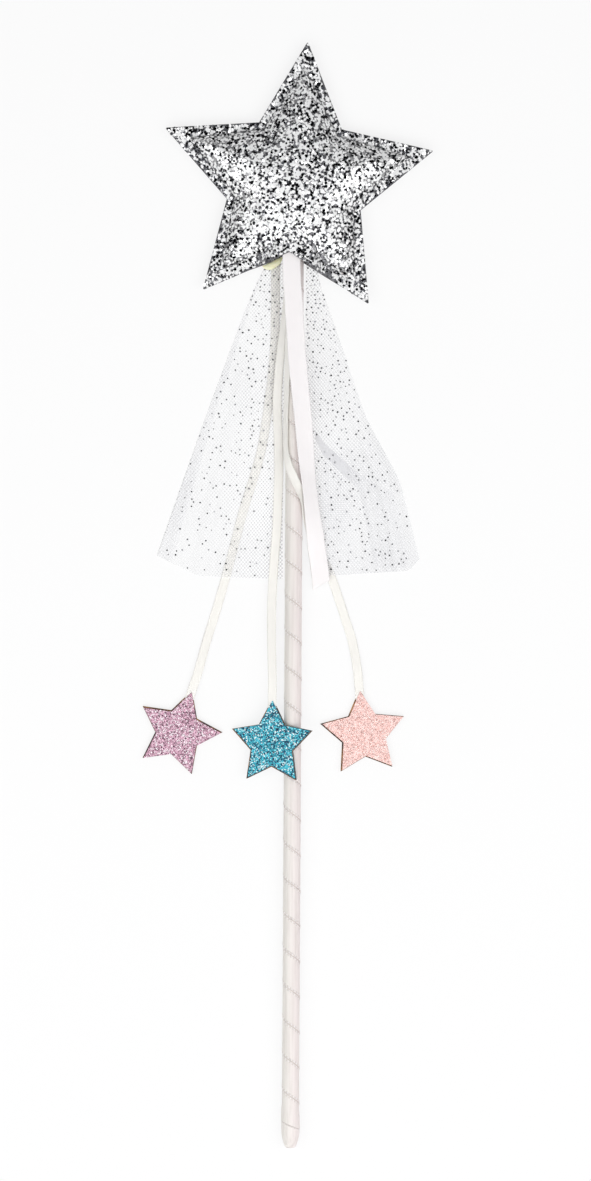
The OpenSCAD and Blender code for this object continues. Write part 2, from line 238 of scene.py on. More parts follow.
def satinFinish(name, look):
    material, bench = finish(name)
    weave = bench.weave()
    along, across = bench.part(weave, 0), bench.part(weave, 1)
    threads, picks = threadWave(across, satinWeave["threadGap"]), threadWave(along, satinWeave["pickGap"])
    grain = bench.noise(bench.place(), satinWeave["grain"])
    wound = "lap" in look
    if wound:  # painted sheen streaks: on the stick they run along it, not along the ribbon
        stretched = bench.vector("MULTIPLY", bench.place(), (1.1 / mm, 0.03 / mm, 1.1 / mm))
    else:
        stretched = bench.vector("MULTIPLY", weave, (0.12, 1.6, 1.0))
    sheenStreaks = bench.node("TexNoise", None, {"Vector": stretched, "Scale": 1.0, "Detail": 4.0})
    # the streaks mix the satin toward its shade colour: painted sheen
    shading = ((sheenStreaks - 0.42) * 2.2).most(0.0).least(1.0)
    plain = look["colour"]
    if wound:
        shading = shading * 1.2
        between = 1 - threadWave(along + look["rowGap"] / 4, look["rowGap"])
        for row in look["rows"]:  # painted shade: darker spots between the pale loops
            off = across - row
            near = (satinWeave["rowHalf"] - off).least(satinWeave["rowHalf"] + off).most(0.0) * 3.0
            shading = shading.most(near.least(1.0) * between * 1.15)
        shading = shading.most((across - look["lap"]) * 9.0 + 0.2).least(2.2)  # painted shadow: a dark line under each lap
        turned = bench.part(bench.place(), 0) * (0.22 / mm) + 0.45  # painted sheen: cream on one side, pinker on the other
        plain = bench.mix(turned.most(0.0).least(1.0), plain, look["sheenPink"])
    height = threads * 0.6 + picks * 0.25 + grain * 0.12 + sheenStreaks * 0.4
    bench.shader({
        "Base Color": bench.mix(shading * 0.45 + threads * 0.06, plain, look["shade"]),
        "Roughness": grain * 0.14 + (look["rough"] - 0.07),
        "Normal": bench.bump(height, look["relief"], satinWeave["depth"]),
        "Specular IOR Level": 0.45,
        "Sheen Weight": look["sheen"],
        "Sheen Roughness": 0.4,
        "Anisotropic": 0.3,
    })
    return material


satin = {name: satinFinish(name, look) for name, look in satins.items()}
print("satin finishes made")


# Flat ribbons: routes as x, y, z and roll in degrees, from the mouth of the star
def smoothRoute(points, gap=1.4):
    points = np.asarray(points, float)
    padded = np.vstack([2 * points[0] - points[1], points, 2 * points[-1] - points[-2]])
    made = []
    for i in range(1, len(padded) - 2):
        a, b, c, d = padded[i - 1:i + 3]
        steps = max(2, int(np.linalg.norm((c - b)[:3]) / gap))
        square, cube = 2 * a - 5 * b + 4 * c - d, 3 * b - a - 3 * c + d
        made += [0.5 * (2 * b + (c - a) * t + square * t ** 2 + cube * t ** 3) for t in np.arange(steps) / steps]
    return np.vstack(made + [padded[-2]])


def routeFrame(route):
    at = route[:, :3]
    forward = unit(np.gradient(at, axis=0))
    roll = np.radians(route[:, 3])
    lean = np.stack([np.sin(roll), 0 * roll, np.cos(roll)], axis=1)
    side = unit(np.cross(lean, forward))
    return at, forward, side, np.cross(forward, side)


def routeLength(at):
    return float(np.linalg.norm(np.diff(at, axis=0), axis=1).sum())


def bead(centre, alongDir, sideDir, upDir, size):
    reach = [alongDir * size[0], sideDir * size[1], -alongDir * size[0], -sideDir * size[1]]
    points = [centre + r for r in reach] + [centre + upDir * size[2], centre - upDir * size[2]]
    faces = [(i, (i + 1) % 4, 4) for i in range(4)] + [((i + 1) % 4, i, 5) for i in range(4)]
    return points, faces


def ribbonPiece(name, laid, width, material, picot, slant=0.0, thick=0.22, closedEnds=(True, True)):
    at, forward, side, up = laid
    half = width / 2
    profile = [(-half, 0), (-half + 0.16, 0.62), (-half + 0.45, 0.5), (-half / 2, 0.46), (0, 0.44), (half / 2, 0.46),
               (half - 0.45, 0.5), (half - 0.16, 0.62), (half, 0)]  # thicker along the selvedges
    profile += [(x, -z) for x, z in profile[-2:0:-1]]
    run = np.concatenate([[0], np.cumsum(np.linalg.norm(np.diff(at, axis=0), axis=1))])
    verts, weave = [], []
    for k in range(len(at)):
        tail = ease((run[k] - run[-1] + width) / width) * slant  # the end is cut on a slant
        for x, z in profile:
            verts.append(at[k] + side[k] * x + up[k] * z * thick + forward[k] * tail * x / half)
            weave.append((run[k], x))
    faces = bandFaces(len(at), len(profile))
    ends = [end for end, shut in zip(endFaces(len(at), len(profile)), closedEnds) if shut]
    caps = range(len(faces), len(faces) + len(ends))
    faces += ends
    for edge in (-1, 1):  # picot loops along the selvedge
        for place in np.arange(picot["gap"] / 2, run[-1] - picot["gap"] / 2, picot["gap"]):
            k = int(np.clip(np.searchsorted(run, place), 1, len(at) - 1))
            t = (place - run[k - 1]) / (run[k] - run[k - 1])
            tail = ease((place - run[-1] + width) / width) * slant * edge
            mid = at[k - 1] * (1 - t) + at[k] * t + side[k] * edge * (half + 0.02) + forward[k] * tail
            loop, sides = bead(mid, forward[k], side[k], up[k], picot["size"])
            faces += [tuple(v + len(verts) for v in f) for f in sides]
            verts += loop
            weave += [(place, edge * half)] * len(loop)
    return makePiece(name, verts, faces, material, weave=weave, caps=caps)


def tuples(points):
    return [tuple(float(v) * mm for v in p) for p in points]


# Small stars: place of the back's middle, turn clockwise and lean on the stick
smallStar = {"tip": 18.0, "notch": 9.4, "sheet": 0.3, "core": 1.2, "ribbonLift": 1.3, "leadIn": 8.0, "bendFree": 2.0,
             "tailIn": 9.6, "bendFrom": 4.5, "bendTo": -0.3}
smallStars = {
    "left": {"at": (-46.6, 168.9, -4.2), "turn": 17.9, "lean": 0.0},
    "centre": {"at": (-8.1, 164.7, 1.297), "turn": 0.5, "lean": 18.5},
    "right": {"at": (28.8, 168.7, -4.2), "turn": -5.5, "lean": 0.0},
}


def onStar(side, local):
    where = smallStars[side]
    local = np.atleast_2d(np.asarray(local, float))
    turn, lean = math.radians(where["turn"]), math.radians(where["lean"])
    x = local[:, 0] * math.cos(turn) + local[:, 1] * math.sin(turn)
    y = local[:, 1] * math.cos(turn) - local[:, 0] * math.sin(turn)
    z = local[:, 2]
    across, rise = math.cos(lean), math.sin(lean)
    return np.stack([x * across - z * rise, y, x * rise + z * across], axis=1) + where["at"]


# Ribbons: the three narrow ones run from the mouth to a small star, the wide one has a free cut end
narrow = {"width": 3.5, "picot": {"gap": 1.05, "size": (0.30, 0.27, 0.15)}}
routes = {
    "left": {
        "points": [(-7.5, 368, -3.4, 0), (-7.8, 362, -3.4, 0), (-8, 357, -3.7, 0), (-8, 352, -4, 0), (-8, 340, -4, 0),
                   (-8.2, 326, -4, 0), (-9.5, 312, -4, 0), (-11.2, 298, -4, 0), (-13.4, 284, -4, 0), (-17, 271, -4, 0),
                   (-20.7, 259, -4, 0), (-24, 246, -4, 0), (-27.4, 233, -4, 0), (-31, 220, -4, 0), (-35, 207, -3.9, 0)],
        "split": 6, "bend": ((-8, 357, -3.7), (-8, 345, -4))},
    "centre": {
        "points": [(-3.6, 368, 1.3, -70), (-3.65, 360, 1.2, -72), (-3.8, 350, 0.9, -74), (-4.4, 340, 0.2, -62),
                   (-5.2, 330, -0.9, -40), (-6.2, 318, -1.8, -12), (-7, 304, -2.1, 0), (-6.5, 290, -2.1, 0),
                   (-6.2, 276, -2.1, 0), (-6.5, 264, -2.1, 0), (-6.9, 252, -2.1, 0), (-7.8, 240, -2.1, 0),
                   (-8.4, 230, -1.8, -2), (-8.8, 220, -0.9, -6), (-8.8, 210, 0.4, -11), (-8.6, 200, 1.7, -16)],
        "split": 10, "bend": ((-6.3, 281, -2.1), (-6.3, 271, -2.1))},
    "right": {
        "points": [(-1.3, 368, 3.6, -20), (-1.3, 359, 3.6, -20), (-1.6, 350, 3.5, -25), (-2.4, 330, 3.1, -38),
                   (-3.2, 310, 2.4, -54), (-3.5, 296, 2, -60), (-3.4, 284, 2.4, -55), (-2.3, 278, 3.5, -33),
                   (-0.5, 273.5, 4.25, -7), (1.7, 269, 4, 23), (3.7, 263.5, 2.4, 57), (4.8, 257.5, 0.2, 48),
                   (6.2, 252.5, -1.8, 34), (8.2, 246.5, -3.7, 8), (10.2, 242, -4, 0), (13.2, 237.5, -4, 0),
                   (16, 231, -4, 0), (18.4, 224, -4, 0), (21.4, 215, -4, 0), (24.2, 206, -3.9, 0)],
        "split": 16, "bend": ((8.8, 245.2, -4), (13.2, 237.5, -4))},
}
for side, route in routes.items():
    tip, lift = smallStar["tip"], smallStar["ribbonLift"]
    leads = [(0, tip + off, lift) for off in (smallStar["leadIn"], smallStar["bendFree"], -smallStar["tailIn"])]
    whole = route["points"] + [(*p, -smallStars[side]["lean"]) for p in onStar(side, leads)]
    ribbonBody, starBody = side + "_ribbon", side + "_star"
    laid = routeFrame(smoothRoute(whole))
    cut = int(np.linalg.norm(laid[0] - np.array(whole[route["split"]][:3]), axis=1).argmin())
    runs = []
    for end, span, shut in (("Upper", slice(0, cut + 1), (True, False)), ("Lower", slice(cut, None), (False, True))):
        piece = ribbonPiece(side + "Ribbon" + end, [part[span] for part in laid], narrow["width"], satin["ivorySatin"],
                            narrow["picot"], closedEnds=shut)
        line = laid[0][span]
        print(piece.name, "length", round(routeLength(line)), "mm")
        runs.append(piece)
    upper, lower = runs
    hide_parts(side + "_ribbon_top")
    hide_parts(ribbonBody, side + "_star_tail")
    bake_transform(upper)
    bend = [(0, tip + smallStar["bendFrom"], lift), (0, tip + smallStar["bendTo"], lift)]
    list(tuples(onStar(side, bend)))
    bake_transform(lower)

label = {
    "width": 7.2, "slant": -1.7, "picot": {"gap": 1.05, "size": (0.34, 0.24, 0.14)},
    "points": [(-1.5, 368, 4.6, 0), (-1.5, 360, 4.6, 0), (-1.2, 352, 4.6, 0), (-0.6, 345, 4.6, 0), (0.2, 333, 4.6, 0),
               (1.2, 320, 4.5, 2), (2.4, 308, 4.4, 6), (3.6, 297, 4.3, 12), (4.4, 288, 4.2, 18), (5.2, 279, 3.8, 28),
               (6.2, 270, 2.6, 38), (7.4, 260, 0.8, 33), (8.6, 251, -0.8, 19), (9.6, 243, -1.6, 7), (10.6, 236, -1.9, 0),
               (11.4, 229, -2, 0)],
    "bend": ((-0.9, 350, 4.6), (-0.3, 340, 4.6)),
}
labelLaid = routeFrame(smoothRoute(label["points"]))
labelRibbon = ribbonPiece("labelRibbon", labelLaid, label["width"], satin["labelSatin"], label["picot"],
                          slant=label["slant"])
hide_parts("label_ribbon_top", "label_ribbon_tail")
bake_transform(labelRibbon)

# Big star: padded crown over a flat margin, an arch over the stick at the lower notch
bigStar = {"centre": (0.0, 392.8), "tip": 57.4, "notch": 28.6, "turn": 4.6, "blunt": 0.3, "margin": 3.8, "cover": 0.5,
           "crown": 8.5, "crownRound": 36.0, "crownPower": 0.6, "archHeight": 5.6, "archFlat": 7.0, "archFoot": 14.0,
           "archBlend": 0.5, "tray": 3.7, "traySlope": 0.2, "lipFlat": 14.6, "lipFoot": 18.4, "rimLift": 0.22}
padEnd = 1 - bigStar["margin"] / bigStar["notch"]
corner = math.pi / 5  # angle from a tip to the next notch


def fromTip(angle, firstTip):
    return (angle - firstTip + corner) % (2 * corner) - corner


def starReach(angle, tip, notch, firstTip):
    off = np.abs(fromTip(angle, firstTip))
    return tip * notch * math.sin(corner) / (notch * np.sin(corner - off) + tip * np.sin(off))


def bigReach(angle):  # the big star's edge, with its tips a little blunt
    firstTip = math.radians(90 - bigStar["turn"])
    flat = (bigStar["tip"] - bigStar["blunt"]) / np.cos(fromTip(angle, firstTip))
    return np.minimum(starReach(angle, bigStar["tip"], bigStar["notch"], firstTip), flat)


def starShare(x, y):  # 0 in the star's middle, 1 on its edge
    reach = bigReach(np.arctan2(y, x))
    far, crown = np.hypot(x, y), bigStar["crownRound"]
    grow = reach - crown
    flat = np.abs(grow) < 1e-3
    solved = (-crown + np.sqrt(np.maximum(crown ** 2 + 4 * grow * far, 0))) / (2 * np.where(flat, 1, grow))
    return np.clip(np.where(flat, far / crown, solved), 0, 1)


def mouthBand(x, y, flat, foot):  # 1 over the stick, 0 from the foot outwards and above the star's middle
    return np.where(y < 0, np.clip((foot - np.abs(x)) / (foot - flat), 0, 1), 0)


def frontHeight(x, y, s):
    dome = bigStar["crown"] * np.power(np.maximum(1 - (s / padEnd) ** 2, 0), bigStar["crownPower"])
    arch = bigStar["archHeight"] * mouthBand(x, y, bigStar["archFlat"], bigStar["archFoot"])
    soft = 0.5 * np.sqrt((dome - arch) ** 2 + bigStar["archBlend"])  # a rounded meeting of crown and arch
    return np.where(arch > 0, (dome + arch) / 2 + soft, dome)


def backHeight(x, y, s):
    tray = np.clip((padEnd - s) / bigStar["traySlope"], 0, 1)
    return -bigStar["tray"] * np.maximum(tray, mouthBand(x, y, bigStar["lipFlat"], bigStar["lipFoot"]))


def edgeAngles():
    steps = np.array([0, 0.012, 0.026, 0.06, 0.12, 0.2, 0.3, 0.42, 0.54, 0.62, 0.68, 0.73, 0.78, 0.83, 0.88, 0.92, 0.96])
    radii = [bigStar["tip"], bigStar["notch"]]
    angles = []
    for i in range(10):  # from each corner to the next along the straight edge
        a, b = (math.radians(90 - bigStar["turn"] + 36 * (i + k)) for k in (0, 1))
        p = np.array([math.cos(a), math.sin(a)]) * radii[i % 2]
        q = np.array([math.cos(b), math.sin(b)]) * radii[(i + 1) % 2]
        shares = steps if i % 2 == 0 else np.append(0, 1 - steps[:0:-1])
        angles += [math.atan2(*(p + (q - p) * t)[::-1]) for t in shares]
    return np.array(angles)


def starCover(name, height, inner, outer, material):
    shares = [0.10, 0.20, 0.30, 0.40, 0.49, 0.57, 0.64, 0.70, 0.75, 0.79, 0.82, 0.845, 0.86, padEnd, 0.90, 0.94, 0.975,
              1.0]
    angles = edgeAngles()
    reach = bigReach(angles)
    n, m = len(angles), len(shares)
    verts, faces = [], []
    for shift in (outer, inner):
        for s in shares:
            far = s * ((1 - s) * bigStar["crownRound"] + s * reach)
            x, y = far * np.cos(angles), far * np.sin(angles)
            z = height(x, y, np.full(n, s)) + shift
            verts += list(np.stack([x, y, z], axis=1))
    hubs = [len(verts), len(verts) + 1]
    zero = np.zeros(1)
    verts += [np.array([0, 0, height(zero, zero + 1e-6, zero)[0] + shift]) for shift in (outer, inner)]
    for skin in (0, 1):
        base = skin * m * n
        for j in range(n):
            i = (j + 1) % n
            faces.append((hubs[skin], base + j, base + i))
            for k in range(m - 1):
                a = base + k * n
                faces.append((a + j, a + n + j, a + n + i, a + i))
    rim = (m - 1) * n
    for j in range(n):
        i = (j + 1) % n
        faces.append((rim + j, m * n + rim + j, m * n + rim + i, rim + i))
    return makePiece(name, np.array(verts) + (*bigStar["centre"], 0), faces, material)


def glitterGround(name, dark, pale, cell, metallic, tilt=0.7):
    material, bench = finish(name)
    chip = bench.node("TexVoronoi", {"feature": "F1"}, {"Vector": bench.place(), "Scale": 1 / (cell * mm)}, "Color")
    pick = bench.node("SeparateColor", None, [chip], 0)
    turn = bench.vector("MULTIPLY", bench.vector("SUBTRACT", chip, (0.5, 0.5, 0.5)), (tilt, tilt, tilt))
    leant = bench.vector("ADD", bench.node("NewGeometry", None, (), "Normal"), turn)
    bench.shader({
        "Base Color": bench.mix(pick ** 1.5, dark, pale),
        "Metallic": metallic,
        "Roughness": pick * 0.2 + 0.22,
        "Normal": bench.vector("NORMALIZE", leant),
    })
    return material


def flakeFinish(name, stops, metallic, rough, whiteFrom=0.62):
    material, bench = finish(name)
    tone = bench.attribute("tone")
    grain = bench.noise(bench.place(), 3.0, 2.0)
    colour = bench.node("ValToRGB", {"stops": stops}, [tone + grain * 0.05 - 0.025])
    mirror = metallic * (1 - 0.92 * (tone > whiteFrom))
    bench.shader({"Base Color": colour, "Metallic": mirror, "Roughness": grain * 0.12 + (rough - 0.06)})
    return material


darkChip = {"share": 0.3, "size": 0.92, "lift": 1.2}  # dark chips are smaller and lie on top


def flakePiece(name, places, facing, chip, seed, material):
    dice = np.random.default_rng(seed)
    count, sides = len(places), chip["sides"]
    facing = unit(facing + dice.normal(0, chip["tilt"], (count, 3)))
    spin = dice.normal(0, 1, (count, 3))
    right = unit(np.cross(facing, spin))
    ahead = np.cross(facing, right)
    shade = dice.random(count)
    dark = (shade < darkChip["share"])[:, None]
    radius = dice.uniform(*chip["size"], count)[:, None] * np.where(dark, darkChip["size"], 1.0)
    middle = places + facing * chip["lift"] * (1 + darkChip["lift"] * dark)
    corners = [middle + radius * (right * math.cos(a) + ahead * math.sin(a)) for a in circle(sides)]
    return makePiece(name, np.stack(corners, axis=1).reshape(-1, 3), np.arange(count * sides).reshape(count, sides),
                     material, smooth=False, tone=np.repeat(shade, sides), closed=False)


def scatter(reach, gap, seed, rowShare=0.866, stray=0.45):  # a jittered grid of places over a square
    dice = np.random.default_rng(seed)
    rows, columns = np.arange(-reach, reach, gap * rowShare), np.arange(-reach, reach, gap)
    grid = np.array([(x + gap / 2 * (k % 2), y) for k, y in enumerate(rows) for x in columns])
    return grid + dice.uniform(-stray * gap, stray * gap, grid.shape)


def starFlakes(name, height, sign, gap, seed, material):
    x, y = scatter(bigStar["tip"] + 1, gap, seed).T
    keep = np.hypot(x, y) < bigReach(np.arctan2(y, x)) - chips["edge"]
    x, y = x[keep], y[keep]

    def skin(px, py):
        return height(px, py, starShare(px, py)) + sign * bigStar["cover"]

    step, steepest = chips["slopeStep"], chips["steepest"]
    slopeX = (skin(x + step, y) - skin(x - step, y)) / (2 * step)
    slopeY = (skin(x, y + step) - skin(x, y - step)) / (2 * step)
    slopeX, slopeY = np.clip(slopeX, -steepest, steepest), np.clip(slopeY, -steepest, steepest)
    facing = unit(np.stack([-slopeX, -slopeY, np.ones_like(x)], axis=1) * sign)
    places = np.stack([x + bigStar["centre"][0], y + bigStar["centre"][1], skin(x, y)], axis=1)
    return flakePiece(name, places, facing, chips, seed + 1, material)


def starRim(name, height, shift, material):
    angles = edgeAngles()
    far = bigReach(angles)
    x, y = far * np.cos(angles), far * np.sin(angles)
    line = np.stack([x, y, height(x, y, np.ones_like(x)) + shift], axis=1)
    ahead = unit(np.roll(line, -1, axis=0) - np.roll(line, 1, axis=0))
    out = unit(np.cross(ahead, (0, 0, 1.0)))
    section = [(0.14, 0), (0.10, 0.20), (-0.1, 0.28), (-0.25, 0), (-0.1, -0.28), (0.10, -0.20)]
    verts = [line[k] + out[k] * a + np.array((0, 0, b)) for k in range(len(line)) for a, b in section]
    faces = bandFaces(len(line), len(section), joined=True)
    return makePiece(name, np.array(verts) + (*bigStar["centre"], 0), faces, material)


rimMaterial, bench = finish("greyFelt")
fuzz = bench.noise(bench.place(), 2.2, 4.0)
bench.shader({
    "Base Color": bench.mix(fuzz, (0.055, 0.055, 0.06), (0.28, 0.28, 0.29)),
    "Roughness": fuzz * 0.2 + 0.65,
    "Normal": bench.bump(fuzz, 0.5, 0.06),
})
silverGround = glitterGround("silverGlitter", (0.030, 0.030, 0.034), (0.38, 0.38, 0.40), 0.45, 0.85)
# silver chips: the black tones are painted dark reflections, and the chips past whiteFrom are matt white, a painted
# highlight
silverStops = [(0.0, (0.008, 0.008, 0.010)), (0.175, (0.015, 0.015, 0.017)), (0.19, (0.40, 0.40, 0.41)),
               (0.22, (0.70, 0.70, 0.71)), (0.25, (0.90, 0.90, 0.91)), (0.36, (0.94, 0.94, 0.95)),
               (0.40, (0.97, 0.97, 0.97)), (1.0, (0.99, 0.99, 0.99))]
silverFlake = flakeFinish("silverFlake", silverStops, 1.0, 0.14, 0.40)
starFront = starCover("starFrontCover", frontHeight, 0.0, bigStar["cover"], silverGround)
starBack = starCover("starBackCover", backHeight, 0.0, -bigStar["cover"], silverGround)
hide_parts("star_front_cover", "star_front_foam")
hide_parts("star_back_cover", "star_back_foam")
chips = {"gap": 0.93, "backGap": 0.93 * 1.15, "edge": 0.5, "slopeStep": 0.2, "steepest": 3,
         "size": (0.48, 0.78), "tilt": 0.12, "sides": 6, "lift": 0.06}
glitterFront = starFlakes("starGlitterFront", frontHeight, 1, chips["gap"], 11, silverFlake)
glitterBack = starFlakes("starGlitterBack", backHeight, -1, chips["backGap"], 23, silverFlake)
rims = [starRim("starFrontRim", frontHeight, bigStar["rimLift"], rimMaterial),
        starRim("starBackRim", backHeight, -bigStar["rimLift"], rimMaterial)]
for piece in (starFront, starBack, glitterFront, glitterBack, *rims):
    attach(piece, "wand")
print("star made:", len(glitterFront.data.polygons), "chips in front")

# Veil: two net panels between an inner edge, an outer edge and a hem, as share of the way, x and drop below the mouth
mouthY, tableZ = 364.2, -4.2
veil = {"lift": 0.8, "mouthRise": 0.6, "fold": 2.3, "folds": 5, "ripple": 0.12, "flatShare": 0.3, "soften": 0.03,
        "fullness": 1.12, "doubleFrom": 0.985, "doubleColumns": 8, "doubleLift": 0.2, "columns": 72, "rows": 64}
veils = {
    "left": {
        "inner": [(0, -4.4, -1.8), (1, -4.4, 132.6)],
        "outer": [(0, -9, -1.8), (0.055, -12.2, 5.0), (0.09, -14.4, 9.2), (0.18, -20, 22.2), (0.55, -37.5, 70.2),
                  (1, -55.8, 123.2)],
        "hem": [(0, -4.4, 132.6), (0.5, -28.7, 132), (0.72, -39.2, 131.4), (0.88, -48.6, 126.9), (1, -55.8, 123.2)],
        "turnIn": 0.10, "dense": (0.95, 1.0), "dotArea": 10, "seed": 5},
    "right": {
        "inner": [(0, 4.4, -1.8), (0.5, 4.4, 64.2), (0.75, 8.2, 98.2), (0.87, 11.8, 114.2), (1, 11.8, 131.2)],
        "outer": [(0, 8.5, -1.8), (0.1, 10, 12.2), (0.2, 14.7, 24.6), (0.52, 29, 66.2), (0.74, 43.4, 92.7),
                  (1, 51.3, 124.2)],
        "hem": [(0, 11.8, 131.2), (0.25, 21.5, 130.7), (0.62, 36, 129.8), (0.9, 47.1, 129), (1, 51.3, 124.2)],
        "turnIn": 0.0, "dense": (0.80, 1.95), "dotArea": 6, "seed": 8},
}


def edgePoint(edge, t):  # a place on an edge whose corners are a little rounded
    share, x, drop = np.array(edge).T

    def exact(s):
        return np.stack([np.interp(s, share, x), mouthY - np.interp(s, share, drop)], axis=-1)

    mean = np.mean([exact(np.clip(t + d * veil["soften"], 0, 1)) for d in (-1, -0.5, 0, 0.5, 1)], axis=0)
    soft = np.minimum(np.minimum(t, 1 - t) / veil["soften"], 1)[..., None]
    return exact(t) * (1 - soft) + mean * soft


def veilPoints(panel, u, v):
    one, share = np.ones_like(u), u[..., None]
    inner, outer, hem = edgePoint(panel["inner"], v), edgePoint(panel["outer"], v), edgePoint(panel["hem"], u)
    first, last = edgePoint(panel["inner"], one), edgePoint(panel["outer"], one)
    plan = inner * (1 - share) + outer * share + (v ** 2)[..., None] * (hem - first * (1 - share) - last * share)
    wave = (1 - np.cos(2 * math.pi * veil["folds"] * u)) / 2
    ripple = veil["ripple"] * np.sin(2 * math.pi * (11 * u + 1.3 * v + panel["seed"])) * v
    z = tableZ + veil["lift"] + veil["mouthRise"] * (1 - v) ** 2
    z = z + (veil["fold"] * wave + ripple) * v * np.clip(u / veil["flatShare"] - 1, 0, 1)
    return np.concatenate([plan, z[..., None]], axis=-1)


def netPiece(name, grid, material, mirrored=False, tone=None):
    rows, columns = grid.shape[:2]
    faces = [(r * columns + c, r * columns + c + 1, (r + 1) * columns + c + 1, (r + 1) * columns + c)
             for r in range(rows - 1) for c in range(columns - 1)]
    points = grid.reshape(-1, 3)
    weave = points[:, :2] * (-1 if mirrored else 1, 1)
    piece = makePiece(name, points, faces, material, weave=weave, tone=tone, closed=False)
    piece.visible_shadow = False  # too thin to shade what lies under it
    return piece, float(sum(p.area for p in piece.data.polygons)) * 1e6  # its area in mm2


tulle = {"pitch": 1.36, "sway": 3.0, "threads": ((-0.85, 2.2), (0.85, 4.0))}  # slant and thinness of each thread direction
netMaterial, bench = finish("tulle")
netX, netY = (bench.part(bench.weave(), axis) for axis in (0, 1))
sway = bench.noise(bench.place(), 0.03, 2.0) * tulle["sway"]
threads = [threadWave(netX + netY * slant + sway, tulle["pitch"]) ** power for slant, power in tulle["threads"]]
cover = threads[0] * (threads[1] * 0.60 + 0.40) + threads[1] * 0.35
tint = bench.noise(bench.place(), 0.03, 3.0)
bench.shader({
    "Base Color": bench.mix(tint, (0.78, 0.78, 0.80), (0.62, 0.62, 0.65)),
    "Roughness": tint * 0.2 + 0.45,
    "Alpha": (((tint - 0.25) * 1.20).most(0.19) * cover + 0.12) * bench.attribute("tone"),
    "Sheen Weight": 0.2,
})
sequinStops = [(0.0, (0.008, 0.008, 0.010)), (0.45, (0.02, 0.02, 0.024)), (0.7, (0.10, 0.10, 0.11)),
               (1.0, (0.35, 0.35, 0.38))]
sequinFinish = flakeFinish("tulleSequin", sequinStops, 0.0, 0.5)
sequin = {"size": (0.24, 0.44), "tilt": 0.2, "sides": 6, "lift": 0.2, "apart": 1.4, "draws": 5200}
foldMaterial, bench = finish("tulleFold")
haze = bench.noise(bench.place(), 0.25, 3.0)
bench.shader({
    "Base Color": bench.mix(haze, (0.66, 0.66, 0.69), (0.56, 0.56, 0.59)),
    "Roughness": haze * 0.2 + 0.45,
    "Alpha": (bench.attribute("tone") * 0.44 + haze * 0.12).least(1.0),
})

netGrids = {}
for side, panel in veils.items():
    columns = np.linspace(0, 1, veil["columns"])
    lifts = np.zeros(len(columns))
    if panel["turnIn"]:  # the outer edge is turned in and lies double
        back = np.linspace(veil["doubleFrom"], 1 - panel["turnIn"], veil["doubleColumns"])
        columns, lifts = np.append(columns, back), np.append(lifts, np.full(len(back), veil["doubleLift"]))
    u, v = np.meshgrid(columns, np.linspace(0, 1, veil["rows"]))
    grid = veilPoints(panel, u, v)
    grid[..., 2] += lifts * (0.15 + 0.85 * ease((v - 0.12) / 0.12))
    netGrids[side] = grid
    name = side + "Veil"
    net, area = netPiece(name, grid, netMaterial, side == "right", np.interp(v.ravel(), (0, 1), panel["dense"]))
    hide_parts("veil_" + side)
    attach(net, "veil_" + side)
    dice = np.random.default_rng(panel["seed"])
    drops = veilPoints(panel, dice.uniform(0.01, 0.99, sequin["draws"]), dice.uniform(0.02, 0.995, sequin["draws"]))
    kept = []
    for drop in drops[:int(area / panel["dotArea"])]:  # one for so many mm2, none too close to another
        if not kept or np.linalg.norm(np.array(kept)[:, :2] - drop[:2], axis=1).min() > sequin["apart"]:
            kept.append(drop)
    facing = np.tile((0.0, 0.0, 1.0), (len(kept), 1))
    sequins = flakePiece(name + "Sequins", np.array(kept), facing, sequin, panel["seed"] + 30, sequinFinish)
    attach(sequins, "veil_" + side)
    across = round(np.ptp(grid[..., 0]) * (1 + panel["turnIn"]) * veil["fullness"])
    across * mm

foldOver = {  # the right panel's doubled part: its upper and lower edge as x and y, and its density along them
    "upper": [(8.6, 292.0), (12.5, 286.8), (17.7, 282.4), (22.1, 278.0), (26.4, 274.6), (34.3, 270.0), (40.6, 267.0),
              (44.4, 252), (47.0, 242)],
    "lower": [(8.6, 288.6), (11.6, 282.4), (16.0, 278.0), (21.3, 272.8), (26.5, 268.2), (30.5, 247), (33.5, 236.6),
              (40, 236.3), (46.2, 236.0)],
    "dense": ((0, 0.06, 0.34, 0.47, 0.6, 1), (0.8, 1, 1, 0.45, 0.16, 0.1)),
    "fade": 0.8, "lift": 0.35, "columns": 64, "rows": 14,
}
knots = np.linspace(0, 1, len(foldOver["upper"]))
t = np.linspace(0, 1, foldOver["columns"])
down = np.linspace(0, 1, foldOver["rows"])[:, None, None]
upperEdge, lowerEdge = (np.stack([np.interp(t, knots, axis) for axis in np.array(foldOver[edge]).T], axis=1)
                        for edge in ("upper", "lower"))
plan = upperEdge * (1 - down) + lowerEdge * down
under = netGrids["right"].reshape(-1, 3)
nearest = np.linalg.norm(plan.reshape(-1, 1, 2) - under[None, :, :2], axis=2).argmin(axis=1)
height = under[nearest, 2].reshape(plan.shape[:2]) + foldOver["lift"]
dense = np.interp(t, *foldOver["dense"]) * np.linspace(1, foldOver["fade"], foldOver["rows"])[:, None]
grid = np.concatenate([plan, height[..., None]], axis=2)
foldNet, area = netPiece("rightVeilFold", grid, foldMaterial, tone=dense.ravel())
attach(foldNet, "veil_right")
print("veil made; fold area", round(area), "mm2")

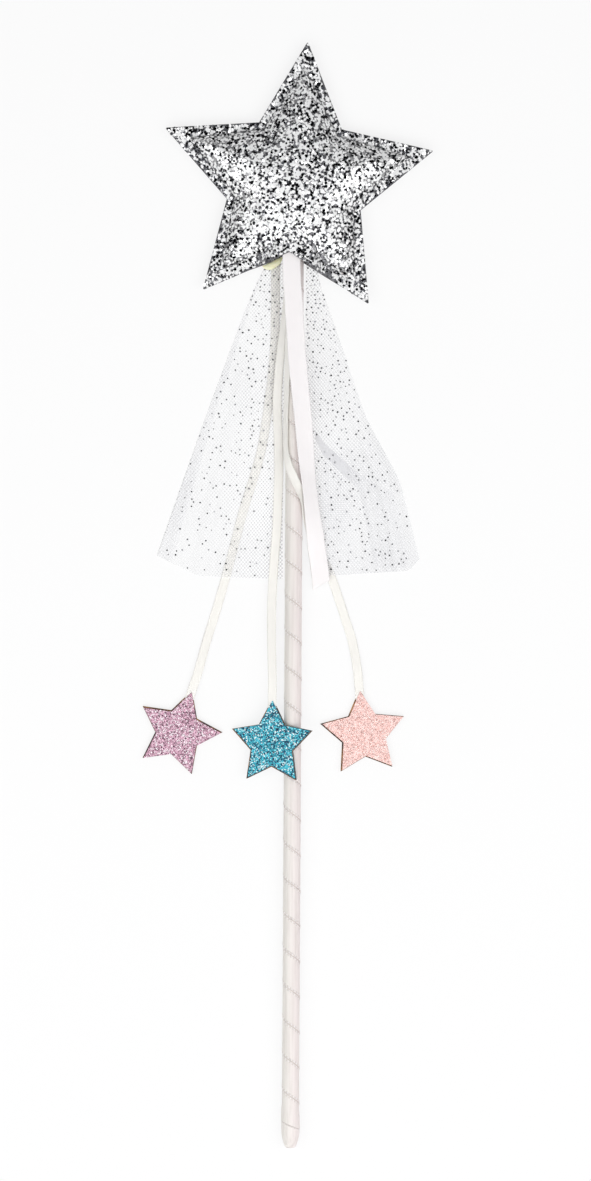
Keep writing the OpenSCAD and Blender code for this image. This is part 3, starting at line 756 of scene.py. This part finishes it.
# Stick: a helix of satin ribbon, each turn's lower edge lying over the turn below
wrap = {"pitch": 14.37, "lap": 1.3, "start": 10.6, "end": 369.0, "thick": 0.22, "steps": 36, "seam": 294.5, "girth": 22.0}
wrapShape = [(0.0, 3.62), (0.04, 3.60), (0.12, 3.53), (0.45, 3.50), (0.80, 3.47), (0.90, 3.42), (0.935, 3.33), (1.0, 3.29)]
wrapLoop = {"gap": 1.25, "size": (0.40, 0.36, 0.13), "girth": 22.6, "slope": 0.53, "endGap": 0.5,
            "rows": ((0.58, 3.61, 1.0), (-0.86, 3.48, 0.85))}  # height over the lap's edge, radius and scale


def wrapPoint(turn, radius, y):
    a = 2 * math.pi * turn
    return (radius * math.sin(a), y, radius * math.cos(a))


turns = math.ceil((wrap["end"] - wrap["start"]) / wrap["pitch"]) + 2
topEdge = wrap["seam"] + wrap["pitch"] * math.ceil((wrap["end"] - wrap["seam"]) / wrap["pitch"])
width = wrap["pitch"] + wrap["lap"]
verts, weave, faces = [], [], []
ring, bands = 2 * len(wrapShape), turns * wrap["steps"]
for k in range(bands + 1):
    turn = k / wrap["steps"]
    low = topEdge - wrap["pitch"] * turn
    for skin in (0, 1):
        for share, radius in wrapShape[::1 - 2 * skin]:
            y = min(max(low + share * width, wrap["start"]), wrap["end"])
            verts.append(wrapPoint(turn, radius - skin * wrap["thick"], y))
            weave.append((turn * wrap["girth"], share * width))
for k in range(bands):
    a, b = np.array(verts[k * ring:(k + 1) * ring]), np.array(verts[(k + 1) * ring:(k + 2) * ring])
    if np.ptp(a[:, 1]) + np.ptp(b[:, 1]) < 0.05:
        continue  # past the ends of the winding
    for j in range(ring):
        i = (j + 1) % ring
        faces.append((k * ring + j, k * ring + ring + j, k * ring + ring + i, k * ring + i))
loops, loopWeave, loopFaces = [], [], []
for n in range(int(turns * wrapLoop["girth"] / wrapLoop["gap"])):  # pale loops above and below the lap's painted shadow line
    turn = n * wrapLoop["gap"] / wrapLoop["girth"]
    out = np.array(wrapPoint(turn, 1, 0))
    sideways = unit((out[2], -wrapLoop["slope"], -out[0]))
    for above, radius, scale in wrapLoop["rows"]:
        y = topEdge - wrap["pitch"] * turn + above
        if wrap["start"] + wrapLoop["endGap"] < y < wrap["end"] - wrapLoop["endGap"]:
            middle, size = np.array(wrapPoint(turn, radius, y)), np.array(wrapLoop["size"]) * scale
            loop, sides = bead(middle, sideways, np.array((0, 1.0, 0)), out, size)
            loopFaces += [tuple(v + len(loops) for v in f) for f in sides]
            loops += [tuple(p) for p in loop]
            loopWeave += [(turn * wrap["girth"], 0.0)] * len(loop)
wrapRibbon = makePiece("wrapRibbon", verts, faces, satin["wrapSatin"], weave=weave)
work = bmesh.new()
work.from_mesh(wrapRibbon.data)
bmesh.ops.delete(work, geom=[v for v in work.verts if not v.link_faces], context="VERTS")
bmesh.ops.dissolve_degenerate(work, dist=1e-7, edges=work.edges)
work.to_mesh(wrapRibbon.data)
work.free()
wrapLoops = makePiece("wrapLoops", loops, loopFaces, satin["labelSatin"], weave=loopWeave)
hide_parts("wrap_ribbon")
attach(wrapRibbon, "wand")
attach(wrapLoops, "wand")
print("wrap made:", turns, "turns")

# Butt: the ribbon's end folded round the stick, with pleats drawn together under the end
butt = {"edge": 9.75, "slope": 1.65, "pleats": 9, "pleatDepth": 0.30, "pleatTop": 3.6, "pleatFade": 3.4, "pleatInner": 1.2,
        "weaveFrom": 3.0, "weaveRadius": 3.7, "around": 72}
profile = [(0.05, 0.42), (0.5, 0.34), (1.0, 0.16), (1.45, 0.06), (1.85, 0.28), (2.2, 0.72), (2.52, 1.35), (2.88, 2.35),
           (3.18, 3.4), (3.43, 4.6), (3.60, 5.6), (3.72, 6.6)]  # radius and height
lining = [(3.08, 4.7), (2.86, 3.45), (2.56, 2.4), (2.2, 1.4), (1.87, 0.95), (0.05, 0.95)]
cuff = [(3.70, -1.3, 12.0), (3.68, -0.05, 14.6), (3.86, -0.12, 14.4), (3.92, 0.05, 1.0), (3.91, 0.4, 1.5),
        (3.87, 1.6, 3.0), (3.80, 3.2, 5.0), (3.71, 4.8, 7.0), (3.60, 6.2, 8.4), (3.43, 7.6, 9.8),
        (3.42, 7.7, 9.9)]  # radius, rise and place across the weave; the first rings sit past the satin's lap mark and so take its painted shadow line
around = circle(butt["around"])
rings = []
for radius, y in profile:
    draw = ease((butt["pleatTop"] - y) / butt["pleatFade"]) * min(1.0, radius / butt["pleatInner"])
    pleat = butt["pleatDepth"] * draw * (np.abs(np.sin(around * butt["pleats"] / 2 + 0.25 * y)) - 0.6)
    soft = 0.035 * np.sin(3 * around + 0.7 * y) + 0.02 * np.sin(5 * around - y)
    r = radius + soft * (radius > 3) + pleat
    rings.append((r, np.full_like(r, y) + np.abs(pleat) * 0.8 * (radius < 3.1), y + butt["weaveFrom"]))
edgeY = butt["edge"] - butt["slope"] * np.sin(around)
for radius, rise, across in cuff:  # the last turn's edge, which lies over the butt
    rings.append((radius + 0.02 * np.sin(2 * around + rise), edgeY + rise, across))
for radius, y in [(lining[0][0], edgeY)] + lining:
    rings.append((np.full_like(around, radius), np.zeros_like(around) + y, 0.0))
verts, weave = [], []
for r, y, across in rings:
    verts += list(np.stack([r * np.sin(around), y, r * np.cos(around)], axis=1))
    weave += [(butt["weaveRadius"] * a, across) for a in around]
faces = tubeFaces(len(rings), len(around))
buttFold = makePiece("buttFold", verts, faces, satin["wrapSatin"], weave=weave)
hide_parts("butt_fold")
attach(buttFold, "wand")
print("butt made")

# Small stars: glittered faces on a brown core whose cut edge shows
starFinishes = {
    "left": {"slot": "pink_glitter", "name": "pinkGlitter", "dark": (0.24, 0.12, 0.17), "pale": (0.76, 0.50, 0.60),
             "cell": 0.34, "shift": (0.12, -0.26), "seed": 41,
             "stops": [(0.0, (0.06, 0.03, 0.05)), (0.14, (0.26, 0.13, 0.19)), (0.26, (0.60, 0.32, 0.43)),
                       (0.66, (0.76, 0.48, 0.60)), (0.84, (0.92, 0.80, 0.86)), (1.0, (0.98, 0.95, 0.97))]},
    "centre": {"slot": "turquoise_glitter", "name": "turquoiseGlitter", "dark": (0.003, 0.05, 0.11),
               "pale": (0.10, 0.56, 0.70), "cell": 0.34, "shift": (0.22, 0.10), "seed": 52,
               "stops": [(0.0, (0.001, 0.01, 0.04)), (0.26, (0.003, 0.08, 0.18)), (0.34, (0.03, 0.43, 0.57)),
                         (0.72, (0.10, 0.66, 0.77)), (0.84, (0.60, 0.92, 0.96)), (1.0, (0.95, 0.99, 1.0))]},
    "right": {"slot": "peach_glitter", "name": "peachGlitter", "dark": (0.84, 0.54, 0.49), "pale": (0.95, 0.69, 0.65),
              "cell": 0.30, "shift": (0.34, 0.02), "seed": 63,
              "stops": [(0.0, (0.66, 0.36, 0.31)), (0.2, (0.86, 0.56, 0.52)), (0.7, (0.91, 0.62, 0.58)),
                        (1.0, (0.97, 0.82, 0.78))]},
}
starFace = {"layers": ((0.966, 0), (0.968, 0.2), (0.958, 0.3)), "thick": 0.3}  # scale and rise of each outline
starGrain = {"gap": 0.56, "reach": 0.950, "edge": 0.12, "size": (0.22, 0.42), "tilt": 0.16, "sides": 5, "lift": 0.04}
coreMaterial, bench = finish("brownCore")
fibre = bench.noise(bench.place(), 1.6, 5.0)
scorch = ((bench.noise(bench.place(), 0.22, 3.0) - 0.45) * 3.0 + fibre * 0.3).most(0.0).least(1.0)
bench.shader({
    "Base Color": bench.mix(scorch, (0.030, 0.016, 0.010), (0.40, 0.19, 0.06)),
    "Roughness": fibre * 0.3 + 0.6,
    "Normal": bench.bump(fibre, 0.5, 0.08),
})


def starOutline(scale, shift, z):
    corners = []
    for i in range(10):
        radius = (smallStar["tip"] if i % 2 == 0 else smallStar["notch"]) * scale
        a = math.radians(90 + 36 * i)
        corners.append((radius * math.cos(a), radius * math.sin(a)))
    edge = []
    for i in range(10):  # each side in short steps, with the corners a little rounded
        p, q = np.array(corners[i]), np.array(corners[(i + 1) % 10])
        edge += [p + (q - p) * t for t in (0.02, 0.06, 0.3, 0.5, 0.7, 0.94, 0.98)]
    return np.array([(x + shift[0], y + shift[1], z) for x, y in edge])


for side, look in starFinishes.items():
    ground = glitterGround(look["name"], look["dark"], look["pale"], look["cell"], 0.3)
    flake = flakeFinish(look["name"] + "Flake", look["stops"], 0.35, 0.36)
    base = smallStar["sheet"] + smallStar["core"]
    top, shift = base + starFace["thick"], look["shift"]
    layers = [starOutline(scale, shift, base + rise) for scale, rise in starFace["layers"]]
    n = len(layers[0])
    verts = np.vstack(layers + [np.array([(*shift, top), (*shift, base)])])
    faces = bandFaces(len(layers), n)
    faces += [(2 * n + j, 2 * n + (j + 1) % n, 3 * n) for j in range(n)]
    faces += [((j + 1) % n, j, 3 * n + 1) for j in range(n)]
    face = makePiece(side + "StarFace", onStar(side, verts), faces, ground, smooth=False)
    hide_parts(side + "_star_front")
    spots = scatter(smallStar["tip"], starGrain["gap"], look["seed"])
    reach = starReach(np.arctan2(spots[:, 1], spots[:, 0]), smallStar["tip"], smallStar["notch"], math.pi / 2)
    spots = spots[np.hypot(*spots.T) < reach * starGrain["reach"] - starGrain["edge"]]
    places = onStar(side, np.column_stack([spots + shift, np.full(len(spots), top)]))
    facing = np.tile(onStar(side, (0, 0, 1)) - onStar(side, (0, 0, 0)), (len(places), 1))
    grains = flakePiece(side + "StarGlitter", places, facing, starGrain, look["seed"] + 1, flake)
    for piece in (face, grains):
        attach(piece, side + "_star")
    setFinish(side + "_star_core", coreMaterial)
    setFinish(side + "_star_back", ground)
print("small stars made")

# Glue: a bead of hot glue along the star's lower left edge, and the plug of it inside the mouth
glueMaterial, bench = finish("hotGlue")
cloud = bench.noise(bench.place(), 0.6, 4.0)
bench.shader({
    "Base Color": bench.mix(cloud, (0.84, 0.82, 0.46), (0.96, 0.95, 0.76)),
    "Roughness": cloud * 0.2 + 0.15,
    "Normal": bench.bump(cloud, 0.4, 0.3),
    "Subsurface Weight": 0.2,
    "Subsurface Radius": (0.001, 0.0008, 0.0004),
})
glue = {"points": [(-13.4, 359.0, -0.9), (-12.2, 358.5, -1.0), (-10.6, 358.7, -1.0), (-9.0, 359.3, -1.1),
                   (-7.4, 360.4, -1.1), (-6.0, 361.6, -1.0), (-5.2, 362.8, -1.0)],
        "radii": [0.2, 0.9, 1.7, 1.35, 1.6, 0.8, 0.3], "flat": 0.5, "around": 12}
line = np.array(glue["points"])
ahead = unit(np.gradient(line, axis=0))
sideways = unit(np.cross((0, 0, 1), ahead))
over = np.cross(ahead, sideways) * glue["flat"]
verts = [line[k] + radius * (sideways[k] * math.cos(a) + over[k] * math.sin(a))
         for k, radius in enumerate(glue["radii"]) for a in circle(glue["around"])]
glueBead = makePiece("glueBead", verts, tubeFaces(len(line), glue["around"]), glueMaterial)
softer = glueBead.modifiers.new("rounder", "SUBSURF")
softer.levels = softer.render_levels = 2
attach(glueBead, "wand")
setFinish("neck_glue", glueMaterial)

# Wooden stick inside the winding, narrowed at the butt
woodMaterial, bench = finish("birchWood")
grain = bench.noise(bench.vector("MULTIPLY", bench.place(), (1.0, 0.06, 1.0)), 1.1, 4.0)
bench.shader({
    "Base Color": bench.mix(grain, (0.62, 0.45, 0.27), (0.80, 0.64, 0.43)),
    "Roughness": grain * 0.2 + 0.5,
    "Normal": bench.bump(grain, 0.3, 0.05),
})
stick = {"end": [(1.7, 1.0), (2.1, 1.5), (2.45, 2.4), (2.75, 3.4), (3.0, 4.7)], "around": 48}  # radius and height
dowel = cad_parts["dowel"]
dowelTop = max((dowel.matrix_world @ v.co).y for v in dowel.data.vertices) / mm
rings = stick["end"] + [(stick["end"][-1][0], dowelTop)]
verts = [(radius * math.sin(a), y, radius * math.cos(a)) for radius, y in rings for a in circle(stick["around"])]
woodenStick = makePiece("woodenStick", verts, tubeFaces(len(rings), stick["around"]), woodMaterial)
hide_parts("dowel")
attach(woodenStick, "wand")
print("stick made:", round(dowelTop), "mm to its top")

# Floor, lamps and sky
studio = {"floorZ": -4.65, "floorHalf": 6000, "floorMiddle": 225, "floorColour": (0.90, 0.90, 0.90), "floorGlow": 0.80,
          "sky": 0.42}
floorMaterial, bench = finish("paleFloor")
path = [bench.node("LightPath", None, (), kind) for kind in ("Is Camera Ray", "Is Glossy Ray", "Is Transmission Ray")]
seen = path[0].most(path[1]).most(path[2])
matt = bench.node("BsdfDiffuse", None, {"Color": (*studio["floorColour"], 1)})
glow = bench.node("Emission", None, {"Color": (1, 1, 1, 1), "Strength": 1.0})
bench.node("OutputMaterial", None, [bench.node("MixShader", None, [seen * studio["floorGlow"], matt, glow])])
corners = [(x * studio["floorHalf"], y * studio["floorHalf"] + studio["floorMiddle"], studio["floorZ"])
           for x, y in ((-1, -1), (1, -1), (1, 1), (-1, 1))]
floorMesh = bpy.data.meshes.new("paleFloor")
floorMesh.from_pydata(tuples(corners), [], [(0, 1, 2, 3)])
floorMesh.materials.append(floorMaterial)
floorPiece = bpy.data.objects.new("paleFloor", floorMesh)
scene.collection.objects.link(floorPiece)

lamps = {
    "left": {"at": (-600, 60, 980), "aim": (0, 250, 0), "size": 960, "watts": 5.05},
    "right": {"at": (620, 60, 980), "aim": (0, 250, 0), "size": 960, "watts": 5.65},
    "foot": {"at": (0, -480, 1000), "aim": (0, 280, 0), "size": 860, "watts": 5.1},
}
for name, lamp in lamps.items():
    data = bpy.data.lights.new(name, "AREA")
    data.shape, data.size, data.energy = "SQUARE", lamp["size"] * mm, lamp["watts"]
    light = bpy.data.objects.new(name, data)
    way = np.array(lamp["aim"], float) - lamp["at"]
    light.location = [v * mm for v in lamp["at"]]
    light.rotation_euler = (math.atan2(math.hypot(way[0], way[1]), -way[2]), 0, math.atan2(-way[0], way[1]))
    scene.collection.objects.link(light)

sky = bpy.data.worlds.new("studioSky")
scene.world = sky
sky.use_nodes = True
bench = Bench(sky.node_tree)
upward = bench.part(bench.node("TexCoord", None, (), "Generated"), 2)
tint = bench.mix(upward.most(0.0) ** 3.0, (0.95, 0.95, 0.95), (0.10, 0.11, 0.14))  # darker overhead
bench.node("OutputWorld", None, [bench.node("Background", None, {"Color": tint, "Strength": studio["sky"]})])
print("floor, lamps and sky set")
